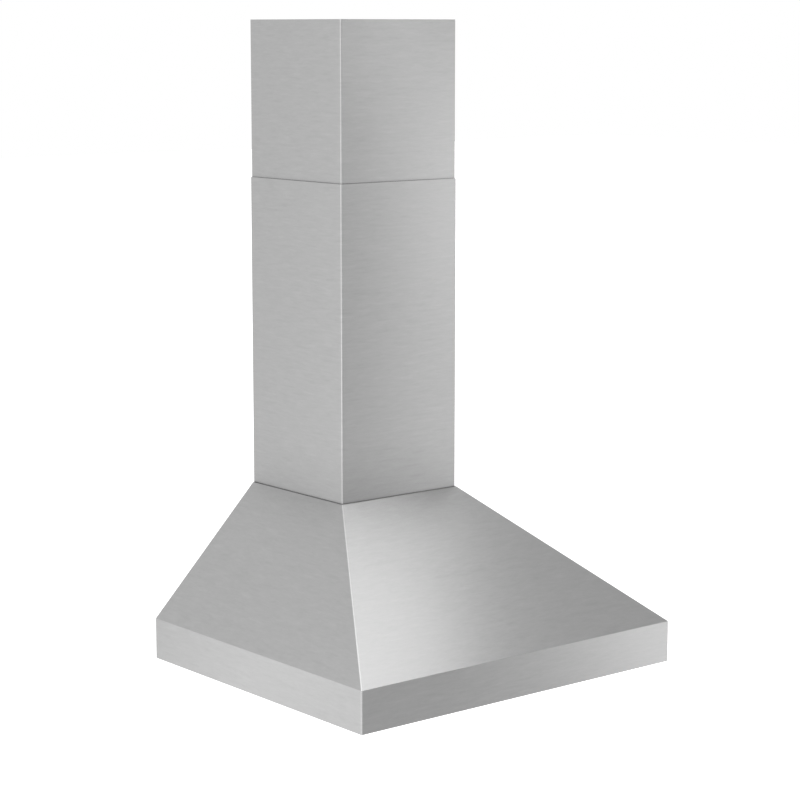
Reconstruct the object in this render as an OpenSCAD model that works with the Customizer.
// Wall-mounted range hood for an outdoor kitchen, in brushed stainless sheet.
// The origin is on the wall plane, at mid width, level with the lower rim. The room lies towards -Y.

/* [Canopy] */
// Width of the hood
hood_w = 762; // [740:1:1000]
// Depth of the hood from the wall
hood_d = 650; // [620:1:720]
// Height of the upright band
band_h = 80; // [70:1:120]
// Height of the sloped part
slope_h = 242; // [230:1:320]
// Ledge of the canopy outside the foot of the chimney
top_ledge = 2.5; // [2:0.1:6]
// Thickness of the canopy's sheet
sheet_t = 1.2; // [0.8:0.1:1.5]
// Width of the lip folded in round the rim
lip_w = 22; // [18:1:26]
// Outer radius of the canopy's and the covers' upright corners
corner_r = 2.5; // [2:0.1:4]

/* [Bottom pan] */
// Height of the recessed pan above the rim
pan_z = 28; // [24:1:40]
// Step between the lip's edge and the pan's upright wall
pan_step = 1; // [0.5:0.1:3]
// Depth of the pan in front of the filters
strip_front = 105; // [95:1:120]
// Depth of the pan behind the filters
strip_back = 36; // [34:1:60]
// Width of the pan beside the filters
strip_side = 22; // [16:1:40]
// Width of the pan between the filters
web_w = 20; // [16:1:40]

/* [Chimney cover] */
// Width of the lower cover
lower_w = 283; // [270:1:300]
// Depth of the lower cover from the wall
lower_d = 289; // [275:1:300]
// Height of the lower cover
lower_h = 610; // [500:1:800]
// Length of the upper cover
upper_len = 560; // [450:1:700]
// Length of the upper cover that shows above the lower one
upper_show = 305; // [100:1:380]
// Thickness of the covers' sheet
cover_t = 1.2; // [0.8:0.1:1.5]
// Gap between the two covers
slide_gap = 0.3; // [0.2:0.05:0.6]
// Width of the flanges folded in along the wall
cover_flange = 25; // [15:1:26]
// Height of the tabs that locate the lower cover's foot
tab_h = 20; // [10:1:30]
// Length of each locating tab
tab_len = 50; // [20:1:80]

/* [Ceiling bracket] */
// Height of the bracket's strip
bracket_h = 40; // [24:1:60]
// Distance of the strip below the upper cover's top
bracket_drop = 20; // [10:1:40]
// Length of the ears along the cover's sides
ear_len = 30; // [15:1:50]
// Radius of the two wall screw holes
wall_hole_r = 2.75; // [2:0.25:4]
// Distance between the bracket's wall screw holes
bracket_span = 160; // [100:1:180]

/* [Wall fixing] */
// Distance between the keyholes
key_span = 220; // [160:1:240]
// Height of the keyholes' round ends above the rim
key_z = 276; // [250:1:285]
// Radius of a keyhole's round end
key_r = 6; // [4:0.5:8]
// Length of a keyhole's slot
key_slot = 14; // [8:1:20]
// Distance between the lower wall screw holes
lock_span = 600; // [500:1:680]
// Height of the lower wall screw holes above the rim
lock_z = 58; // [50:1:66]

/* [Duct collar] */
// Outer radius of the duct collar
collar_r = 100; // [95:1:105]
// Height of the duct collar
collar_h = 60; // [50:1:80]
// Width of the collar's flange
collar_flange = 16; // [12:1:20]
// Height of the damper's pin above the canopy
pin_rise = 22; // [18:1:26]
// Radius of the damper's pin
pin_r = 1.5; // [1:0.25:2]
// Thickness of a damper flap
flap_t = 1; // [0.6:0.1:1.5]
// Gap between a flap and the collar's wall
flap_gap = 1.5; // [1:0.1:3]
// Width of the ledge that the flaps rest on
seat_w = 4; // [3:0.5:5]

/* [Blower] */
// Outer radius of the wheel
wheel_r = 75; // [70:1:80]
// Width of the wheel
wheel_w = 120; // [100:1:130]
// Number of blades
blade_count = 36; // [24:1:48]
// Depth of a blade, from the wheel's inner edge to its outer edge
blade_d = 13.5; // [10:0.5:16]
// Thickness of a blade
blade_t = 0.8; // [0.6:0.1:1.2]
// Gap between the wheel and the scroll's nose
nose_gap = 6; // [4:0.5:10]
// Growth of the scroll's radius along its wall
scroll_grow = 41; // [34:1:44]
// Gap between the wheel and each side plate
cheek_gap = 8; // [5:0.5:12]
// Thickness of the scroll's sheet
scroll_t = 1; // [0.8:0.1:1.5]
// Width of the side plates' rim outside the scroll's wall
seam_w = 10; // [8:0.5:12]
// Radius of the inlets
inlet_r = 60; // [56:1:61]
// Radius of the inlets' rolled lip
roll_r = 5; // [3:0.5:6]
// Radius of the motor
motor_r = 42; // [36:1:46]
// Gap between the motor and the wheel's disc
motor_gap = 8; // [5:0.5:12]
// Radius of the shaft
shaft_r = 4; // [3:0.5:5]
// Height of the scroll above the pan
blower_lift = 32; // [24:1:40]

/* [Filters] */
// Thickness of a filter
filter_t = 12; // [10:0.5:14]
// Gap between a filter and its opening
filter_gap = 2; // [1.5:0.1:3]
// Gap behind a filter's hinged edge
hinge_gap = 3; // [2.5:0.1:5]
// Number of baffles in a filter's lower row
baffle_count = 8; // [5:1:10]
// Width of a baffle
baffle_w = 26; // [24:1:28]
// Height of a baffle's side walls
baffle_h = 7; // [5:0.5:7.5]
// Width of a filter handle
handle_w = 90; // [70:1:120]
// Drop of a filter handle
handle_drop = 18; // [16:1:20]
// Radius of the handle's rod
rod_r = 2.5; // [2:0.25:3]

/* [Lights] */
// Distance of a light's middle from the side of the bottom pan
light_side = 108; // [95:1:150]
// Radius of a light's lens
lens_r = 26; // [20:1:28]
// Radius of a light's bezel
bezel_r = 34; // [32:1:38]
// Height of a light's housing above the pan
housing_h = 24; // [18:1:34]

/* [Controls] */
// Width of the control plate
fascia_w = 240; // [230:1:270]
// Depth of the control plate
fascia_d = 60; // [54:1:70]
// Radius of a button
button_r = 7; // [6:0.5:8]
// Distance that a button stands out of the plate
button_out = 2.5; // [2:0.1:4]
// Travel of a button
button_travel = 1.5; // [1:0.1:2]
// Distance between neighbouring buttons
button_pitch = 30; // [24:1:32]
// Width of the display
display_w = 50; // [40:1:56]
// Depth of the display
display_d = 18; // [12:1:24]

/* [Electrics] */
// Width of the electrics box
elec_w = 120; // [110:1:140]
// Height of the electrics box
elec_h = 80; // [70:1:90]
// Depth of the electrics box
elec_d = 50; // [45:1:60]
// Height of the electrics box above the rim
elec_z = 70; // [68:1:80]
// Radius of the run capacitor
cap_r = 15; // [12:0.5:18]
// Length of the run capacitor
cap_len = 60; // [40:1:80]
// Radius of the bore for the supply cable
gland_bore_r = 4.5; // [3:0.5:5]

/* [Screws] */
// Radius of the sheet screws' shanks
screw_r = 2; // [1.5:0.25:2.5]
// Radius of the sheet screws' heads
head_r = 4; // [3.5:0.25:4.5]
// Height of the sheet screws' heads
head_h = 2.2; // [1.5:0.1:3]

/* [Hidden] */
$fn = 48;

// overrun of every cut, and the gaps that pieces are fitted with
over = 1;
seat_gap = 0.2;
fit_gap = 0.3;
rim_gap = 0.5;
flange_gap = 1.8;
run_fit = 0.05;
hub_fit = 0.02;
screw_fit = 0.1;

// canopy: the slopes run from the band's outline up to the chimney's foot
canopy_top = band_h + slope_h;
top_w = lower_w + 2 * top_ledge;
top_d = lower_d + top_ledge;
side_run = (hood_w - top_w) / 2;
front_run = hood_d - top_d;
side_off = sheet_t * norm([side_run, slope_h]) / slope_h;
front_off = sheet_t * norm([front_run, slope_h]) / slope_h;
top_under = canopy_top - sheet_t;
function half_at(z) = hood_w / 2 - (z - band_h) * side_run / slope_h;
function front_at(z) = -hood_d + (z - band_h) * front_run / slope_h;
hip_step = 9;

// bottom pan and its openings
lip_mid = (sheet_t + lip_w) / 2;
pan_in = lip_w + pan_step;
pan_x = hood_w / 2 - pan_in;
pan_front = -hood_d + pan_in;
pan_back = -pan_in;
pan_top = pan_z + sheet_t;
open_front = pan_front + strip_front;
open_back = pan_back - strip_back;
open_in = web_w / 2;
open_out = pan_x - strip_side;
strip_mid = pan_front + strip_front / 2;
pan_screw_shares = [-0.38, 0, 0.38];
side_screw_shares = [-0.33, -0.67];
countersink_r = screw_r + sheet_t;
socket_share = 0.6;

// filters and their hinge line
filt_in = open_in + filter_gap;
filt_out = open_out - filter_gap;
filt_front = open_front + filter_gap;
filt_back = open_back - hinge_gap;
filt_mid = (filt_in + filt_out) / 2;
filt_top = pan_z + filter_t;
hinge_y = filt_back - filter_t / 2;
hinge_z = pan_z + filter_t / 2;
stub_r = 3;
ear_t = 2.5;
ear_gap = 0.5;
ear_r = 8;
rail_gap = 3;
frame_t = 1;
frame_leg_t = 0.8;
frame_leg_w = 14;
baffle_t = 0.8;
bend_r = 2 * rod_r;
foot_r = 2 * rod_r;
foot_t = 1.2;
catch_w = 24;
catch_t = 0.8;
catch_base = 18;

// chimney cover
cover_step = cover_t + slide_gap;
upper_w = lower_w - 2 * cover_step;
upper_d = lower_d - cover_step;
seam_z = canopy_top + lower_h;
chimney_top = seam_z + upper_show;
upper_foot = chimney_top - upper_len;
tab_t = 1.2;

// ceiling bracket, in three levels: on the wall, joggled forward, and along the sides
bracket_t = 1.5;
bracket_z = chimney_top - bracket_drop - bracket_h / 2;
strip_x = lower_w / 2 - cover_flange - cover_t - flange_gap;
joggle_y = -cover_step - cover_t - bracket_t;
ear_x = upper_w / 2 - cover_t;
clamp_x = (strip_x + ear_x) / 2;

// duct collar and damper
collar_y = -lower_d / 2;
collar_t = 1.2;
collar_in = collar_r - collar_t;
pin_z = canopy_top + pin_rise;
pin_end = collar_r - seat_gap;
knuckle_wall = 1.1;
knuckle_r = pin_r + knuckle_wall;
flap_r = collar_in - flap_gap;
flap_z = -knuckle_r;
seat_t = 1;
flap_start = knuckle_r + 2 * fit_gap;
knuckle_gap = 0.4;
knuckle_shares = [-0.9, -0.62, -0.3, 0.3, 0.62, 0.9];

// blower, drawn round the wheel's axis with the outlet on the wall side
cut_angle = 80;
end_angle = 360;
angle_step = 5;
nose_r = wheel_r + nose_gap;
end_r = nose_r + scroll_grow;
cut_y = nose_r * cos(cut_angle);
function scroll_r(a) = nose_r + scroll_grow * (a - cut_angle) / (end_angle - cut_angle);
bottom_angle = 270;
wheel_y = collar_y - (cut_y + end_r) / 2;
wheel_z = pan_top + blower_lift + scroll_r(bottom_angle);
outlet_h = top_under - wheel_z;
scroll_x = wheel_w / 2 + cheek_gap;
cheek_x = scroll_x + scroll_t;
ledge_w = 14;
ledge_screw_y = 35;
disc_t = 1.2;
ring_t = 1.5;
ring_w = 7;
blade_sweep = 9;
hub_r = 10;
hub_len = 12;
nut_r = 7;
nut_len = 5;
arm_t = 2;
arm_w = 16;
foot_len = 15;
foot_in = inlet_r + 2 * roll_r;
foot_out = foot_in + foot_len;
arm_x = cheek_x + roll_r + 3 * scroll_t;
arm_angles = [30, 150, 270];
hole_ring = 28;
tie_angles = [90, 180, 270, 360];
boss_r = 12;
boss_len = 3;
shaft_seat = 12;

// lights
light_x = pan_x - light_side;
bezel_t = 2;
bezel_wall = 1.5;
bezel_neck = 5;
housing_t = 1.5;
lens_t = 2;
light_hole_r = lens_r + seat_gap + bezel_wall + fit_gap;

// controls: power and light to the left of the display, slower, faster and timer to the right
fascia_t = 2;
fascia_edge = 8;
fascia_z = pan_z - fascia_t;
display_edge = 3;
display_t = 1.6;
button_first = fascia_w / 2 - fascia_edge - 2 * button_r;
button_x = [-button_first, -button_first + button_pitch,
    button_first - 2 * button_pitch, button_first - button_pitch, button_first];
display_x = (button_x[1] + button_x[2]) / 2;
button_rim = 1.3;
button_rim_t = 1;
button_edge = 0.6;
stem_r = 2;
stem_len = 4;
board_t = 1.6;
switch_w = 6;
switch_h = 4;
plunger_h = 0.5;
post_r = 3;
button_top = pan_z + seat_gap + button_rim_t + stem_len;
board_z = button_top + button_travel + seat_gap + plunger_h + switch_h;
board_w = fascia_w - 2 * fascia_edge - 2 * post_r;
board_d = fascia_d - 2 * fascia_edge - 2 * post_r;
post_x = board_w / 2 - post_r;
post_y = board_d / 2 - post_r;

// electrics: the box stands this share of the hood's width from the middle
elec_share = 0.26;
elec_x = -hood_w * elec_share;
elec_t = 1;
elec_back = -sheet_t;
elec_front = elec_back - elec_d;
tab_in = 10;
term_w = 54;
term_d = 18;
term_h = 20;
term_ways = 5;
cap_neck_share = 0.8;
gland_in = 23.5;
gland_x = gland_in - lower_w / 2;
gland_y = -30;
gland_thread_r = 8;
gland_hex_r = 12;
gland_cap_r = 10;
gland_hex_h = 7;
gland_cap_h = 12;
gland_tail = 14;
gland_nut_h = 5;
driver_w = 90;
driver_d = 40;
driver_h = 22;
driver_x = -(filt_mid - catch_w / 2) / 2;
driver_y = strip_mid + (fascia_d + driver_h) / 2;
driver_top = pan_top + driver_d;

// wires inside the canopy, with their runs over the hinge rail, beside the left filter and above the driver
wire_r = 2.5;
wire_sides = 8;
wire_bend = 10;
bend_shares = [0, 0.25, 0.5, 0.75, 1];
wire_up = [1, 2, 3];
wire_off = 30;
wire_in = 18;
elec_left = elec_x - elec_w / 2;
elec_right = elec_x + elec_w / 2;
elec_mid_y = (elec_front + elec_back) / 2;
bracket_face = -arm_x - arm_t;
motor_run_x = (elec_right + bracket_face) / 2;
motor_run_z = elec_z + wire_off;
side_run_x = -(open_out + pan_x) / 2;
low_run_z = pan_top + sheet_t + wire_r + rim_gap;
entry_z = low_run_z + 2 * wire_bend + wire_r;
board_run_x = driver_x + driver_w / 2 + wire_off;
high_run_z = driver_top + wire_bend + wire_r;
housing_top = pan_top + housing_h;
board_top = board_z + board_t;
to_motor = [[elec_right + seat_gap, elec_mid_y, motor_run_z], [motor_run_x, elec_mid_y, motor_run_z],
    [motor_run_x, wheel_y, motor_run_z], [motor_run_x, wheel_y, wheel_z],
    [bracket_face - seat_gap, wheel_y, wheel_z]];
to_driver = [[elec_left + wire_in, elec_mid_y, elec_z - seat_gap], [elec_left + wire_in, elec_mid_y, low_run_z],
    [side_run_x, elec_mid_y, low_run_z], [side_run_x, driver_y, low_run_z], [side_run_x, driver_y, entry_z],
    [driver_x - driver_w / 2 - seat_gap, driver_y, entry_z]];
to_board = [[driver_x + driver_w / 2 + seat_gap, driver_y, entry_z], [board_run_x, driver_y, entry_z],
    [board_run_x, strip_mid, entry_z], [board_run_x, strip_mid, board_top + seat_gap]];
function to_light(side) = let (start_x = driver_x + side * driver_w / 4, end_x = side * light_x)
    [[start_x, driver_y, driver_top + seat_gap], [start_x, driver_y, high_run_z],
        [end_x, driver_y, high_run_z], [end_x, strip_mid, high_run_z],
        [end_x, strip_mid, housing_top + seat_gap]];
wires = [to_motor, to_driver, to_board, to_light(-1), to_light(1)];

// Helpers

module block(low, high) {
    translate(low) cube(high - low);
}

// draws a piece across the width: the drawing's x and y become +Y and +Z, and its height +X
module across() {
    rotate([90, 0, 90]) children();
}

module both_sides() {
    children();
    mirror([1, 0, 0]) children();
}

// a pan-head screw seated at the origin, with its head towards +Z
module screw(length) {
    difference() {
        union() {
            cylinder(r = head_r, h = head_h);
            translate([0, 0, -length]) cylinder(r = screw_r, h = length + head_h / 2);
        }
        translate([0, 0, head_h / 2]) cylinder(r = head_r / 2, h = head_h, $fn = 6);
    }
}

// a flat outline with its two front corners rounded
module rounded_front(w, front, back, r) {
    translate([-w / 2, front + r]) square([w, back - front - r]);
    translate([-w / 2 + r, front]) square([w - 2 * r, r]);
    both_sides() translate([w / 2 - r, front + r]) intersection() {
        circle(r = r);
        translate([0, -r]) square(r);
    }
}

module screw_hole(length) {
    translate([0, 0, -length - over]) cylinder(r = screw_r + screw_fit, h = length + 2 * over);
}

// a closed skin through rings of points, each ring counterclockwise as seen from the next one
module loft(rings) {
    n = len(rings[0]);
    last = (len(rings) - 1) * n;
    polyhedron(
        points = [for (ring = rings) each ring],
        faces = concat([[for (i = [0:n - 1]) i]], [[for (i = [n - 1:-1:0]) last + i]],
            [for (k = [0:n:last - n], i = [0:n - 1], side = [0, 1]) let (j = (i + 1) % n)
                side == 0 ? [k + n + i, k + n + j, k + j] : [k + n + i, k + j, k + i]])
    );
}

// Canopy

// a sloped sheet between two level outlines, at the band's top and the canopy's top
module slope(low, high) {
    loft([[for (p = low) [p.x, p.y, band_h]], [for (p = high) [p.x, p.y, canopy_top]]]);
}

// the rounded corner of an outline on the right, between two directions
function corner_arc(z, from, to) = [for (a = [from:hip_step:to])
    [half_at(z) - corner_r + corner_r * cos(a), front_at(z) + corner_r + corner_r * sin(a)]];

function front_outline(z) = let (x = half_at(z), y = front_at(z), arc = corner_arc(z, -90, -45), n = len(arc))
    concat([for (i = [n - 1:-1:0]) [-arc[i].x, arc[i].y]], arc,
        [[x - side_off, y + front_off], [-x + side_off, y + front_off]]);

function side_outline(z) = let (x = half_at(z), y = front_at(z))
    concat(corner_arc(z, -45, 0), [[x, 0], [x - side_off, 0], [x - side_off, y + front_off]]);

module canopy_front() {
    color("silver") slope(front_outline(band_h), front_outline(canopy_top));
}

module canopy_right() {
    color("darkgray") slope(side_outline(band_h), side_outline(canopy_top));
}

module canopy_left() {
    mirror([1, 0, 0]) canopy_right();
}

// where the pan is screwed up through the lips
pan_spots = concat(
    [for (s = pan_screw_shares) [s * hood_w, -hood_d + lip_mid]],
    [for (s = pan_screw_shares) [s * hood_w, -lip_mid]],
    [for (s = side_screw_shares, side = [-1, 1]) [side * (hood_w / 2 - lip_mid), s * hood_d]]
);

module countersinks() {
    for (p = pan_spots)
        translate([p.x, p.y, 0]) {
            cylinder(r1 = countersink_r + screw_fit, r2 = screw_r + screw_fit, h = sheet_t);
            translate([0, 0, -over]) cylinder(r = screw_r + screw_fit, h = sheet_t + 2 * over);
        }
}

module skirt_front() {
    color("silver") difference() {
        union() {
            linear_extrude(band_h) intersection() {
                difference() {
                    rounded_front(hood_w, -hood_d, 0, corner_r);
                    rounded_front(hood_w - 2 * sheet_t, -hood_d + sheet_t, over, corner_r - sheet_t);
                }
                translate([-hood_w / 2, -hood_d]) square([hood_w, corner_r]);
            }
            linear_extrude(sheet_t) intersection() {
                rounded_front(hood_w, -hood_d, 0, corner_r);
                translate([-hood_w / 2 + sheet_t, -hood_d]) square([hood_w - 2 * sheet_t, lip_w]);
            }
        }
        countersinks();
    }
}

module skirt_right() {
    color("darkgray") difference() {
        union() {
            block([hood_w / 2 - sheet_t, -hood_d + corner_r, 0], [hood_w / 2, 0, band_h]);
            block([hood_w / 2 - lip_w, -hood_d + lip_w, 0], [hood_w / 2, -lip_w, sheet_t]);
        }
        countersinks();
    }
}

module skirt_left() {
    mirror([1, 0, 0]) skirt_right();
}

module keyhole() {
    slot_r = screw_r + 2 * screw_fit;
    rotate([90, 0, 0]) {
        translate([0, 0, -over]) cylinder(r = key_r, h = sheet_t + 2 * over);
        translate([0, key_slot, -over]) cylinder(r = slot_r, h = sheet_t + 2 * over);
        translate([-slot_r, 0, -over]) cube([2 * slot_r, key_slot, sheet_t + 2 * over]);
    }
}

module back_panel() {
    rim_x = hood_w / 2 - sheet_t;
    low_x = half_at(band_h) - side_off;
    high_x = half_at(top_under) - side_off;
    color("gray") difference() {
        union() {
            rotate([90, 0, 0]) linear_extrude(sheet_t) polygon([
                [-rim_x, 0], [rim_x, 0], [rim_x, band_h], [low_x, band_h], [high_x, top_under],
                [-high_x, top_under], [-low_x, band_h], [-rim_x, band_h]
            ]);
            block([-rim_x, -lip_w, 0], [rim_x, 0, sheet_t]);
        }
        countersinks();
        both_sides() {
            translate([key_span / 2, 0, key_z]) keyhole();
            translate([lock_span / 2, 0, lock_z]) rotate([90, 0, 0])
                translate([0, 0, -over]) cylinder(r = wall_hole_r, h = sheet_t + 2 * over);
        }
    }
}

// where the scroll's ledges, the collar and the cable gland go through the top plate
outlet_mid = wheel_y + (cut_y + end_r) / 2;
ledge_spots = [for (x = [-1, 1], y = [-1, 1])
    [x * (cheek_x + ledge_w / 2), outlet_mid + y * ledge_screw_y]];
collar_spots = [for (a = [45:90:315])
    [(collar_r + collar_flange / 2) * cos(a), collar_y + (collar_r + collar_flange / 2) * sin(a)]];

module top_plate() {
    plate_x = half_at(canopy_top) - side_off;
    tab_x = lower_w / 2 - cover_t - fit_gap;
    color("gray") difference() {
        union() {
            block([-plate_x, front_at(canopy_top) + front_off, top_under], [plate_x, 0, canopy_top]);
            both_sides() for (y = [-lower_d / 4, -lower_d * 3 / 4])
                block([tab_x - tab_t, y - tab_len / 2, top_under],
                    [tab_x, y + tab_len / 2, canopy_top + tab_h]);
        }
        block([-scroll_x, wheel_y + cut_y, top_under - over], [scroll_x, wheel_y + end_r, canopy_top + over]);
        for (p = concat(ledge_spots, collar_spots)) translate([p.x, p.y, canopy_top]) screw_hole(sheet_t);
        translate([gland_x, gland_y, top_under - over])
            cylinder(r = gland_thread_r + screw_fit, h = sheet_t + 2 * over);
    }
}

// Bottom pan

fascia_spots = [for (x = [-1, 1], y = [-1, 1])
    [x * (fascia_w - fascia_edge) / 2, strip_mid + y * (fascia_d - fascia_edge) / 2]];

module under_pan() {
    rim_x = hood_w / 2 - sheet_t - rim_gap;
    window_x = fascia_w / 2 - fascia_edge;
    window_y = fascia_d / 2 - fascia_edge;
    color("lightgray") difference() {
        union() {
            block([-rim_x, -hood_d + sheet_t + rim_gap, sheet_t], [rim_x, -sheet_t - rim_gap, 2 * sheet_t]);
            block([-pan_x, pan_front, sheet_t], [pan_x, pan_back, pan_top]);
        }
        block([-pan_x + sheet_t, pan_front + sheet_t, -over], [pan_x - sheet_t, pan_back - sheet_t, pan_z]);
        both_sides() block([open_in, open_front, 0], [open_out, open_back, pan_top + over]);
        block([-window_x, strip_mid - window_y, 0], [window_x, strip_mid + window_y, pan_top + over]);
        both_sides() translate([light_x, strip_mid, 0]) cylinder(r = light_hole_r, h = pan_top + over);
        for (p = fascia_spots) translate([p.x, p.y, pan_top]) screw_hole(sheet_t);
        for (p = pan_spots) translate([p.x, p.y, 2 * sheet_t]) screw_hole(sheet_t);
    }
}

module hinge_rail() {
    rail_y = open_back + rail_gap;
    end_x = open_out + ear_gap + ear_t;
    color("gray") difference() {
        union() {
            block([-end_x, rail_y, pan_top], [end_x, pan_back - rail_gap, pan_top + sheet_t]);
            both_sides() for (x = [open_in - ear_gap - ear_t, open_out + ear_gap])
                block([x, hinge_y - ear_r, pan_top], [x + ear_t, rail_y + ear_t, hinge_z + ear_r]);
        }
        translate([-end_x - over, hinge_y, hinge_z]) across()
            cylinder(r = stub_r + run_fit, h = 2 * (end_x + over));
    }
}

module filter_catches() {
    bulge_r = filter_gap - fit_gap;
    color("gray") both_sides() translate([filt_mid, 0, 0]) {
        block([-catch_w / 2, open_front - catch_base, pan_top], [catch_w / 2, open_front, pan_top + catch_t]);
        block([-catch_w / 2, open_front - catch_t, pan_top],
            [catch_w / 2, open_front, hinge_z + 2 * bulge_r]);
        intersection() {
            translate([-catch_w / 2, open_front, hinge_z]) across() cylinder(r = bulge_r, h = catch_w);
            block([-catch_w / 2, open_front - catch_t / 2, pan_z], [catch_w / 2, filt_front, filt_top]);
        }
    }
}

module pan_screws() {
    reach = 3 * sheet_t + 2 * screw_r;
    color("silver") for (p = pan_spots) translate([p.x, p.y, 0]) difference() {
        union() {
            cylinder(r1 = countersink_r, r2 = screw_r, h = sheet_t);
            cylinder(r = screw_r, h = reach);
        }
        translate([0, 0, -over]) cylinder(r = screw_r * socket_share, h = over + sheet_t / 2, $fn = 6);
    }
}

// Chimney cover

// a cover open to the wall, with a flange folded in on each side
module cover(w, front, back, length) {
    slot_x = lower_w / 2 - cover_flange;
    linear_extrude(length) difference() {
        rounded_front(w, front, back, corner_r);
        rounded_front(w - 2 * cover_t, front + cover_t, back - cover_t, corner_r - cover_t);
        translate([-slot_x, back - cover_t - over]) square([2 * slot_x, cover_t + 2 * over]);
    }
}

module chimney_lower() {
    color("silver") translate([0, 0, canopy_top]) cover(lower_w, -lower_d, 0, lower_h);
}

clamp_spots = [for (x = [-1, 1], z = [-1, 1]) [x * clamp_x, bracket_z + z * bracket_h / 4]];

// turned so that a screw's head faces the room
module at_clamps(y) {
    for (p = clamp_spots) translate([p.x, y, p.y]) rotate([90, 0, 0]) children();
}

module chimney_upper() {
    color("lightgray") difference() {
        translate([0, 0, upper_foot]) cover(upper_w, -upper_d, -cover_step, upper_len);
        at_clamps(joggle_y) screw_hole(bracket_t + cover_t);
    }
}

module chimney_bracket() {
    low = bracket_z - bracket_h / 2;
    high = bracket_z + bracket_h / 2;
    color("gray") difference() {
        union() {
            block([-strip_x, -bracket_t, low], [strip_x, 0, high]);
            both_sides() {
                block([strip_x - bracket_t, joggle_y, low], [strip_x, 0, high]);
                block([strip_x - bracket_t, joggle_y, low], [ear_x, joggle_y + bracket_t, high]);
                block([ear_x - bracket_t, joggle_y - ear_len, low], [ear_x, joggle_y + bracket_t, high]);
            }
        }
        at_clamps(joggle_y) screw_hole(bracket_t);
        for (x = [-1, 1]) translate([x * bracket_span / 2, 0, bracket_z]) rotate([90, 0, 0])
            translate([0, 0, -over]) cylinder(r = wall_hole_r, h = bracket_t + 2 * over);
    }
}

module chimney_screws() {
    color("silver") at_clamps(joggle_y) screw(bracket_t + cover_t);
}

// Duct collar and damper

module duct_collar() {
    color("silver") translate([0, collar_y, canopy_top]) difference() {
        union() {
            rotate_extrude() {
                translate([collar_in, 0]) square([collar_t + collar_flange, collar_t]);
                translate([collar_in, 0]) square([collar_t, collar_h]);
                translate([collar_in - seat_w, pin_rise + flap_z - seat_gap - seat_t])
                    square([seat_w + collar_t / 2, seat_t]);
            }
        }
        translate([-collar_r - over, 0, pin_rise]) across()
            cylinder(r = pin_r + run_fit, h = 2 * (collar_r + over));
        for (p = collar_spots) translate([p.x, p.y - collar_y, collar_t]) screw_hole(collar_t);
    }
}

module collar_screws() {
    color("gray") for (p = collar_spots)
        translate([p.x, p.y, canopy_top + collar_t]) screw(sheet_t + collar_t + screw_r);
}

module damper_pin() {
    color("gray") translate([-pin_end, collar_y, pin_z]) across() cylinder(r = pin_r, h = 2 * pin_end);
}

// a half disc towards -Y with its own knuckles on the pin, between those of the other flap
module flap(first) {
    cuts = [for (s = knuckle_shares) s * flap_r];
    difference() {
        union() {
            translate([0, 0, flap_z]) intersection() {
                cylinder(r = flap_r, h = flap_t);
                union() {
                    block([-flap_r, -flap_r, 0], [flap_r, -flap_start, flap_t]);
                    for (i = [first:2:len(cuts) - 2])
                        block([cuts[i] + knuckle_gap, -flap_r, 0], [cuts[i + 1] - knuckle_gap, 0, flap_t]);
                }
            }
            for (i = [first:2:len(cuts) - 2]) translate([cuts[i] + knuckle_gap, 0, 0]) across()
                cylinder(r = knuckle_r, h = cuts[i + 1] - cuts[i] - 2 * knuckle_gap);
        }
        translate([-flap_r, 0, 0]) across() cylinder(r = pin_r + run_fit, h = 2 * flap_r);
    }
}

module flap_front() {
    color("gainsboro") translate([0, collar_y, pin_z]) flap(0);
}

module flap_rear() {
    color("lightgray") translate([0, collar_y, pin_z]) mirror([0, 1, 0]) flap(1);
}

// Blower

module at_wheel() {
    translate([0, wheel_y, wheel_z]) children();
}

function polar(r, a) = [r * cos(a), r * sin(a)];

module scroll_wrap() {
    inner = [for (a = [cut_angle:angle_step:end_angle]) polar(scroll_r(a), a)];
    outer = [for (a = [end_angle:-angle_step:cut_angle + angle_step]) polar(scroll_r(a) + scroll_t, a)];
    corner_y = cut_y - scroll_t;
    corner = [corner_y, sqrt(pow(nose_r + scroll_t, 2) - pow(corner_y, 2))];
    color("lightsteelblue") at_wheel() translate([-scroll_x, 0, 0]) across() linear_extrude(2 * scroll_x)
        polygon(concat([[cut_y, outlet_h]], inner, [[end_r, outlet_h], [end_r + scroll_t, outlet_h]],
            outer, [corner, [corner_y, outlet_h]]));
}

module rolled_lip() {
    rotate_extrude() translate([inlet_r + roll_r, 0]) intersection() {
        difference() {
            circle(r = roll_r);
            circle(r = roll_r - scroll_t);
        }
        translate([-roll_r, 0]) square(roll_r);
    }
}

module scroll_side_right() {
    rim = [for (a = [90:angle_step:end_angle]) polar(scroll_r(a) + seam_w, a)];
    color("steelblue") at_wheel() difference() {
        union() {
            translate([scroll_x, 0, 0]) across() linear_extrude(scroll_t)
                polygon(concat([[cut_y - seam_w, outlet_h], [cut_y - seam_w, scroll_r(90) + seam_w]],
                    rim, [[end_r + seam_w, outlet_h]]));
            translate([scroll_x, 0, 0]) across() translate([0, 0, scroll_t]) rolled_lip();
            block([scroll_x, cut_y - seam_w, outlet_h - scroll_t],
                [cheek_x + ledge_w, end_r + seam_w, outlet_h]);
        }
        translate([scroll_x - over, 0, 0]) across() cylinder(r = inlet_r, h = scroll_t + over);
        for (p = ledge_spots) translate([p.x, p.y - wheel_y, outlet_h]) screw_hole(scroll_t);
    }
}

module scroll_side_left() {
    color("steelblue") difference() {
        mirror([1, 0, 0]) scroll_side_right();
        at_wheel() at_feet() screw_hole(scroll_t);
    }
}

module scroll_screws() {
    color("gray") for (p = ledge_spots) translate([p.x, p.y, canopy_top]) screw(sheet_t + scroll_t + screw_r);
}

// on the left side plate, turned so that a screw's head faces -X
module facing_left(x) {
    translate([x, 0, 0]) rotate([90, 0, -90]) children();
}

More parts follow.
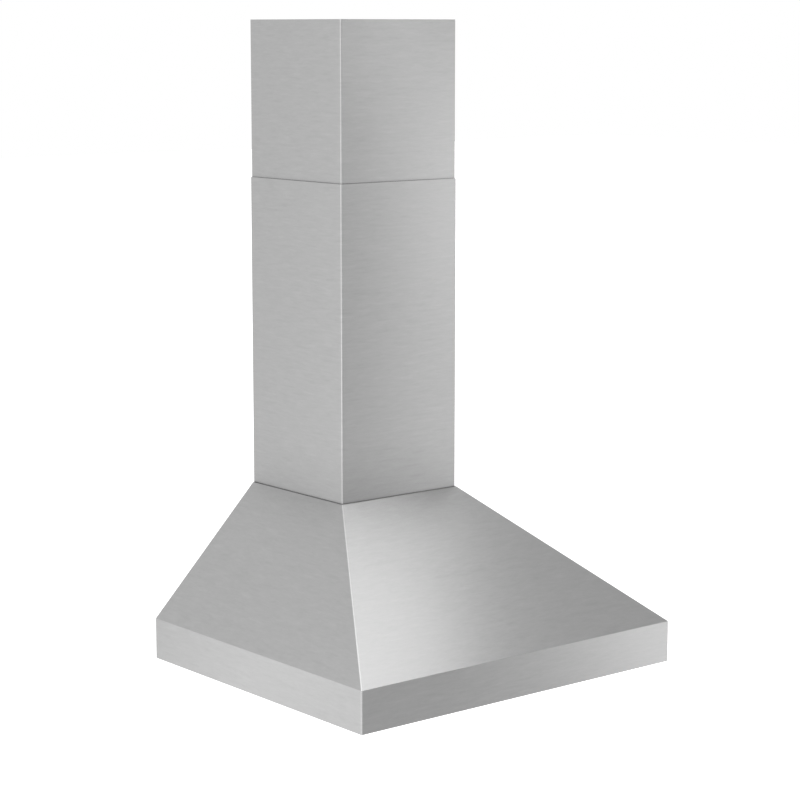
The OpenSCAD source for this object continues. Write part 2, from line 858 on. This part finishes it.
module at_feet() {
    for (a = arm_angles) facing_left(-cheek_x)
        rotate([0, 0, 180 - a]) translate([(foot_in + foot_out) / 2, 0, 0]) children();
}

module at_ties(x) {
    for (a = tie_angles) facing_left(x) rotate([0, 0, a]) translate([hole_ring, 0, 0]) children();
}

module motor_bracket() {
    color("dimgray") at_wheel() difference() {
        union() {
            facing_left(-arm_x) cylinder(r = hole_ring + 2 * head_r, h = arm_t);
            for (a = arm_angles) rotate([a, 0, 0]) {
                block([-arm_x - arm_t, hole_ring, -arm_w / 2], [-arm_x, foot_in + arm_t, arm_w / 2]);
                block([-arm_x - arm_t, foot_in, -arm_w / 2], [-cheek_x, foot_in + arm_t, arm_w / 2]);
                block([-cheek_x - arm_t, foot_in, -arm_w / 2], [-cheek_x, foot_out, arm_w / 2]);
            }
        }
        at_feet() translate([0, 0, arm_t]) screw_hole(arm_t);
        at_ties(-arm_x - arm_t) screw_hole(arm_t);
    }
}

module motor_body() {
    motor_len = arm_x - motor_gap - boss_len;
    color("dimgray") at_wheel() difference() {
        translate([-arm_x, 0, 0]) across() rotate_extrude() polygon([
            [0, 0], [motor_r - scroll_t, 0], [motor_r, scroll_t], [motor_r, motor_len - scroll_t],
            [motor_r - scroll_t, motor_len], [boss_r, motor_len], [boss_r, motor_len + boss_len],
            [0, motor_len + boss_len]
        ]);
        translate([-arm_x + shaft_seat, 0, 0]) across() cylinder(r = shaft_r + run_fit, h = arm_x);
        at_ties(-arm_x) screw_hole(shaft_seat - over);
    }
}

module motor_screws() {
    color("silver") at_wheel() {
        at_feet() translate([0, 0, arm_t]) screw(arm_t + scroll_t + screw_r);
        at_ties(-arm_x - arm_t) screw(arm_t + shaft_seat / 2);
    }
}

module motor_shaft() {
    color("silver") at_wheel() translate([-arm_x + shaft_seat + seat_gap, 0, 0]) across()
        cylinder(r = shaft_r, h = arm_x - shaft_seat - seat_gap + hub_len + nut_len + ring_t);
}

// a forward-curved blade as an outline between the wheel's inner and outer edges
function blade_points(side) = [for (s = [0:0.25:1])
    let (r = wheel_r - blade_d - blade_t + s * blade_d)
    polar(r, blade_sweep * s * s + side * atan(blade_t / (2 * r)))];

module impeller() {
    edge = blade_points(-1);
    other = blade_points(1);
    blade = concat(edge, [for (i = [len(other) - 1:-1:0]) other[i]]);
    color("darkslategray") at_wheel() difference() {
        union() {
            translate([-wheel_w / 2, 0, 0]) across() {
                linear_extrude(wheel_w) for (i = [0:blade_count - 1])
                    rotate(i * 360 / blade_count) polygon(blade);
                for (z = [0, wheel_w - ring_t]) translate([0, 0, z]) difference() {
                    cylinder(r = wheel_r, h = ring_t);
                    translate([0, 0, -over]) cylinder(r = wheel_r - ring_w, h = ring_t + 2 * over);
                }
            }
            translate([-disc_t / 2, 0, 0]) across() cylinder(r = wheel_r - 2 * blade_t, h = disc_t);
            across() cylinder(r = hub_r, h = hub_len);
        }
        translate([-over, 0, 0]) across() cylinder(r = shaft_r + hub_fit, h = hub_len + 2 * over);
    }
}

module impeller_nut() {
    color("gray") at_wheel() translate([hub_len, 0, 0]) across() difference() {
        cylinder(r = nut_r, h = nut_len, $fn = 6);
        translate([0, 0, -over]) cylinder(r = shaft_r + hub_fit, h = nut_len + 2 * over);
    }
}

// Electrics

elec_low = [elec_left, elec_front, elec_z];
elec_high = [elec_right, elec_back, elec_z + elec_h];
elec_spots = [for (x = [-1, 1]) [elec_x + x * (elec_w / 2 - tab_in / 2), elec_z + elec_h - tab_in / 2]];

module at_cover() {
    for (p = elec_spots) translate([p.x, elec_front - elec_t, p.y]) rotate([90, 0, 0]) children();
}

module electrics_box() {
    inset = [elec_t, elec_t, elec_t];
    color("gray") difference() {
        union() {
            difference() {
                block(elec_low, elec_high);
                block(elec_low + inset - [0, elec_t + over, 0], elec_high - inset);
            }
            for (p = elec_spots) block([p.x - tab_in / 2, elec_front, p.y - tab_in / 2],
                [p.x + tab_in / 2, elec_front + tab_in, p.y + tab_in / 2]);
        }
        at_cover() screw_hole(elec_t + tab_in - 2 * over);
    }
}

module electrics_cover() {
    color("lightgray") difference() {
        block([elec_low.x, elec_front - elec_t, elec_low.z], [elec_high.x, elec_front, elec_high.z]);
        at_cover() screw_hole(elec_t);
    }
}

module electrics_screws() {
    color("silver") at_cover() screw(elec_t + tab_in / 2);
}

module terminal_block() {
    x = elec_high.x - elec_t - seat_gap - term_w;
    z = elec_low.z + elec_t;
    way = term_w / term_ways;
    color("ivory") difference() {
        block([x, elec_back - elec_t - term_h, z], [x + term_w, elec_back - elec_t, z + term_d]);
        for (i = [0:term_ways - 1]) {
            translate([x + (i + 1 / 2) * way, elec_back - elec_t - term_h, z + term_d / 2])
                rotate([-90, 0, 0]) translate([0, 0, -over]) cylinder(r = way / 4, h = term_h / 2 + over);
        }
        for (i = [1:term_ways - 1])
            block([x + i * way - elec_t / 2, elec_back - elec_t - term_h - over, z - over],
                [x + i * way + elec_t / 2, elec_back - elec_t - term_h * 3 / 4, z + term_d + over]);
    }
}

module capacitor() {
    neck_r = cap_r * cap_neck_share;
    color("whitesmoke") translate([elec_low.x + elec_t, elec_back - elec_t - fit_gap - cap_r,
        elec_high.z - elec_t - tab_in - fit_gap - cap_r]) across() {
        cylinder(r = cap_r, h = cap_len);
        cylinder(r = neck_r, h = cap_len + elec_t);
    }
}

module cable_gland() {
    color("dimgray") translate([gland_x, gland_y, 0]) difference() {
        union() {
            translate([0, 0, canopy_top]) cylinder(r = gland_hex_r, h = gland_hex_h, $fn = 6);
            translate([0, 0, canopy_top + gland_hex_h])
                cylinder(r1 = gland_cap_r, r2 = gland_thread_r, h = gland_cap_h);
            translate([0, 0, canopy_top - gland_tail])
                cylinder(r = gland_thread_r, h = gland_tail + gland_hex_h);
            translate([0, 0, top_under - gland_nut_h]) cylinder(r = gland_hex_r, h = gland_nut_h, $fn = 6);
        }
        translate([0, 0, canopy_top - gland_tail - over])
            cylinder(r = gland_bore_r, h = gland_tail + gland_hex_h + gland_cap_h + 2 * over);
    }
}

module led_driver() {
    color("whitesmoke") block([driver_x - driver_w / 2, driver_y - driver_h / 2, pan_top],
        [driver_x + driver_w / 2, driver_y + driver_h / 2, driver_top]);
}

function unit(v) = v / norm(v);

// a route with each corner rounded by a short curve
function rounded(route) = concat([route[0]],
    [for (i = [1:len(route) - 2]) let (p = route[i],
        a = p + wire_bend * unit(route[i - 1] - p), b = p + wire_bend * unit(route[i + 1] - p))
        for (s = bend_shares) (1 - s) * (1 - s) * a + 2 * s * (1 - s) * p + s * s * b],
    [route[len(route) - 1]]);

function wire_ring(p, along) = let (u = unit(cross(along, wire_up)), v = cross(along, u))
    [for (i = [0:wire_sides - 1]) let (a = i * 360 / wire_sides) p + wire_r * (u * cos(a) + v * sin(a))];

module wiring_harness() {
    color("black") for (route = wires) {
        path = rounded(route);
        end = len(path) - 1;
        loft([for (i = [0:end])
            wire_ring(path[i], unit(path[min(i + 1, end)] - path[max(i - 1, 0)]))]);
    }
}

// Lights

module light_right(part) {
    translate([light_x, strip_mid, 0]) {
        if (part == "housing") color("gray") rotate_extrude() translate([0, pan_top]) difference() {
            union() {
                square([light_hole_r + housing_t, housing_h]);
                square([bezel_r + housing_t, housing_t]);
            }
            translate([-over, -over]) square([light_hole_r + over, housing_h - housing_t + over]);
        }
        if (part == "bezel") color("silver") rotate_extrude() {
            translate([lens_r - bezel_t, pan_z - bezel_t]) square([bezel_r - lens_r + bezel_t, bezel_t]);
            translate([lens_r + seat_gap, pan_z - bezel_t]) square([bezel_wall, bezel_t + bezel_neck]);
        }
        if (part == "lens") color("white") translate([0, 0, pan_z]) cylinder(r = lens_r, h = lens_t);
    }
}

module light_housing_right() { light_right("housing"); }
module light_housing_left() { mirror([1, 0, 0]) light_right("housing"); }
module light_bezel_right() { light_right("bezel"); }
module light_bezel_left() { mirror([1, 0, 0]) light_right("bezel"); }
module light_lens_right() { light_right("lens"); }
module light_lens_left() { mirror([1, 0, 0]) light_right("lens"); }

// Controls

module control_fascia() {
    window_x = display_w / 2 - display_edge;
    window_y = display_d / 2 - display_edge;
    color("black") difference() {
        union() {
            block([-fascia_w / 2, strip_mid - fascia_d / 2, fascia_z],
                [fascia_w / 2, strip_mid + fascia_d / 2, pan_z]);
            for (x = [-1, 1], y = [-1, 1]) translate([x * post_x, strip_mid + y * post_y, fascia_z])
                cylinder(r = post_r, h = board_z - fascia_z);
        }
        for (x = button_x) translate([x, strip_mid, fascia_z - over])
            cylinder(r = button_r + fit_gap, h = fascia_t + 2 * over);
        for (p = fascia_spots) translate([p.x, p.y, pan_z]) screw_hole(fascia_t);
        block([display_x - window_x, strip_mid - window_y, fascia_z - over],
            [display_x + window_x, strip_mid + window_y, pan_z + over]);
    }
}

module fascia_screws() {
    color("silver") for (p = fascia_spots) translate([p.x, p.y, fascia_z]) mirror([0, 0, 1])
        screw(fascia_t + sheet_t + screw_r);
}

module control_display() {
    color("darkslateblue") block([display_x - display_w / 2, strip_mid - display_d / 2, pan_z],
        [display_x + display_w / 2, strip_mid + display_d / 2, pan_z + display_t]);
}

module control_board() {
    color("green") {
        block([-board_w / 2, strip_mid - board_d / 2, board_z],
            [board_w / 2, strip_mid + board_d / 2, board_top]);
        for (x = button_x) {
            block([x - switch_w / 2, strip_mid - switch_w / 2, board_z - switch_h],
                [x + switch_w / 2, strip_mid + switch_w / 2, board_z]);
            translate([x, strip_mid, board_z - switch_h - plunger_h])
                cylinder(r = stem_r, h = plunger_h + over);
        }
    }
}

module button(i) {
    low = fascia_z - button_out;
    rim_z = pan_z + seat_gap;
    color("dimgray") translate([button_x[i], strip_mid, 0]) {
        translate([0, 0, low]) cylinder(r1 = button_r - button_edge, r2 = button_r, h = button_edge);
        translate([0, 0, low + button_edge])
            cylinder(r = button_r, h = rim_z + button_rim_t - low - button_edge);
        translate([0, 0, rim_z]) cylinder(r = button_r + button_rim, h = button_rim_t);
        translate([0, 0, rim_z]) cylinder(r = stem_r, h = button_rim_t + stem_len);
    }
}

module button_power() { button(0); }
module button_light() { button(1); }
module button_slower() { button(2); }
module button_faster() { button(3); }
module button_timer() { button(4); }

// Filters

module filter_frame_right() {
    low = [filt_in, filt_front, pan_z];
    high = [filt_out, filt_back, filt_top];
    leg = [frame_leg_w, frame_leg_w, -over];
    web = [frame_t, frame_t, frame_leg_t];
    color("silver") {
        difference() {
            block(low, high);
            block(low + leg, high - leg);
            block(low + web, high - web);
        }
        for (x = [filt_in - filter_gap - ear_gap - ear_t + fit_gap, filt_out - frame_t / 2])
            translate([x, hinge_y, hinge_z]) across()
                cylinder(r = stub_r, h = filter_gap + ear_gap + ear_t - fit_gap + frame_t / 2);
    }
}

// a channel along the filter, open upwards
module baffle() {
    length = filt_back - filt_front - 2 * frame_t;
    difference() {
        cube([baffle_w, length, baffle_h]);
        translate([baffle_t, -over, baffle_t]) cube([baffle_w - 2 * baffle_t, length + 2 * over, baffle_h]);
    }
}

module filter_baffles_right() {
    inner_w = filt_out - filt_in - 2 * frame_t;
    pitch = (inner_w - baffle_w) / (baffle_count - 1);
    start = [filt_in + frame_t, filt_front + frame_t, pan_z + frame_leg_t];
    color("lightgray") {
        for (i = [0:baffle_count - 1]) translate(start + [i * pitch, 0, 0]) baffle();
        for (i = [0:baffle_count - 2]) translate(start + [(i + 1 / 2) * pitch, 0, filter_t - 2 * frame_leg_t])
            mirror([0, 0, 1]) baffle();
    }
}

module filter_handle_right() {
    reach = handle_w / 2 - bend_r;
    down = handle_drop - rod_r - bend_r;
    color("silver") translate([filt_mid, filt_front + frame_leg_w / 2, pan_z]) {
        both_sides() {
            translate([handle_w / 2, 0, -foot_t]) cylinder(r = foot_r, h = foot_t);
            translate([handle_w / 2, 0, -down]) cylinder(r = rod_r, h = down);
            translate([reach, 0, -down]) rotate([-90, 0, 0]) rotate_extrude(angle = 90)
                translate([bend_r, 0]) circle(r = rod_r);
        }
        translate([-reach, 0, -down - bend_r]) across() cylinder(r = rod_r, h = 2 * reach);
    }
}

module filter_frame_left() { mirror([1, 0, 0]) filter_frame_right(); }
module filter_baffles_left() { mirror([1, 0, 0]) filter_baffles_right(); }
module filter_handle_left() { mirror([1, 0, 0]) filter_handle_right(); }

canopy_front();
canopy_left();
canopy_right();
skirt_front();
skirt_left();
skirt_right();
back_panel();
top_plate();
under_pan();
hinge_rail();
filter_catches();
pan_screws();
chimney_lower();
chimney_upper();
chimney_bracket();
chimney_screws();
duct_collar();
collar_screws();
damper_pin();
flap_front();
flap_rear();
scroll_wrap();
scroll_side_left();
scroll_side_right();
scroll_screws();
motor_body();
motor_bracket();
motor_screws();
motor_shaft();
impeller();
impeller_nut();
electrics_box();
electrics_cover();
electrics_screws();
terminal_block();
capacitor();
cable_gland();
led_driver();
wiring_harness();
light_housing_left();
light_housing_right();
light_bezel_left();
light_bezel_right();
light_lens_left();
light_lens_right();
control_fascia();
control_display();
control_board();
fascia_screws();
button_power();
button_light();
button_slower();
button_faster();
button_timer();
filter_frame_left();
filter_frame_right();
filter_baffles_left();
filter_baffles_right();
filter_handle_left();
filter_handle_right();
